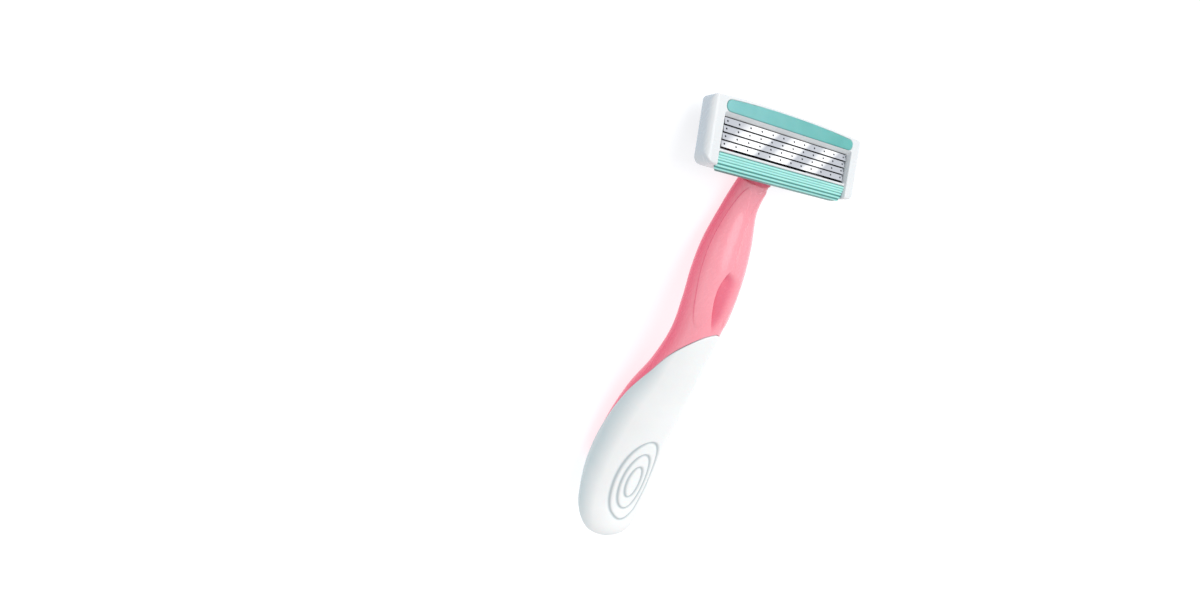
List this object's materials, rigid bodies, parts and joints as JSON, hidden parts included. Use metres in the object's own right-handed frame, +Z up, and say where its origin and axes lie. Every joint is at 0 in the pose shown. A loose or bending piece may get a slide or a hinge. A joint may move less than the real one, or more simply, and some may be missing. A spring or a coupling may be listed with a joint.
{
  "type": "cartridge razor",
  "caption": "Wet-shaving razor with a pivoting multi-blade head, a ribbed guard, a lubricating strip and a curved two-part handle, lying on its back.",
  "frame": {"origin": "middle of the footprint, on the table the razor lies on", "axes": "+Z up from the table; +Y from the butt of the handle to the head; +X along the head, the razor being the same on both sides of X = 0"},
  "size_m": [0.0448, 0.1235, 0.0192],
  "materials": {
    "pink_plastic": "gloss, moulded",
    "white_grip": "satin, soft to the touch",
    "white_frame": "gloss, moulded",
    "dark_plastic": "satin, moulded",
    "grey_plastic": "satin",
    "strip_polymer": "matte, waxy",
    "guard_elastomer": "satin, ribbed",
    "blade_steel": "polished, with a ground edge",
    "support_steel": "rolled",
    "spring_steel": "drawn wire"
  },
  "bodies": {
    "handle": {"handle_core": "pink_plastic", "butt_grip": "white_grip", "pivot_bracket": "pink_plastic", "plunger_spring": "spring_steel"},
    "plunger": {"plunger": "grey_plastic"},
    "cartridge": {"cartridge_base": "dark_plastic", "cartridge_cover": "white_frame", "lubricating_strip": "strip_polymer", "guard_bar": "guard_elastomer", "spring_fingers_1": "dark_plastic", "spring_fingers_2": "dark_plastic", "spring_fingers_3": "dark_plastic", "spring_fingers_4": "dark_plastic"},
    "blade_1_unit": {"blade_1": "blade_steel", "blade_support_1": "support_steel"},
    "blade_2_unit": {"blade_2": "blade_steel", "blade_support_2": "support_steel"},
    "blade_3_unit": {"blade_3": "blade_steel", "blade_support_3": "support_steel"},
    "blade_4_unit": {"blade_4": "blade_steel", "blade_support_4": "support_steel"}
  },
  "joints": [
    {"name": "head_pivot", "type": "hinge", "parent": "handle", "child": "cartridge", "pos_m": [0, 0.04866, 0.00487], "axis": [-1, 0, 0], "range_deg": [0, 40], "stiffness_Nm_per_rad": 0.006, "springref_deg": -17.19},
    {"name": "plunger_slide", "type": "slide", "parent": "handle", "child": "plunger", "axis": [0, -0.9976, -0.0695], "range_m": [0, 0.0009], "deforming": ["plunger_spring"]},
    {"name": "blade_1_float", "type": "slide", "parent": "cartridge", "child": "blade_1_unit", "axis": [0, -0.4571, -0.8894], "range_m": [0, 0.0003], "stiffness_N_per_m": 100, "springref_m": -0.0005, "deforming": ["spring_fingers_1"]},
    {"name": "blade_2_float", "type": "slide", "parent": "cartridge", "child": "blade_2_unit", "axis": [0, -0.4571, -0.8894], "range_m": [0, 0.0003], "stiffness_N_per_m": 100, "springref_m": -0.0005, "deforming": ["spring_fingers_2"]},
    {"name": "blade_3_float", "type": "slide", "parent": "cartridge", "child": "blade_3_unit", "axis": [0, -0.4571, -0.8894], "range_m": [0, 0.0003], "stiffness_N_per_m": 100, "springref_m": -0.0005, "deforming": ["spring_fingers_3"]},
    {"name": "blade_4_float", "type": "slide", "parent": "cartridge", "child": "blade_4_unit", "axis": [0, -0.4571, -0.8894], "range_m": [0, 0.0003], "stiffness_N_per_m": 100, "springref_m": -0.0005, "deforming": ["spring_fingers_4"]}
  ],
  "couplings": [
    {"joint": "plunger_slide", "follows": "head_pivot", "m_per_rad": 0.00125}
  ]
}
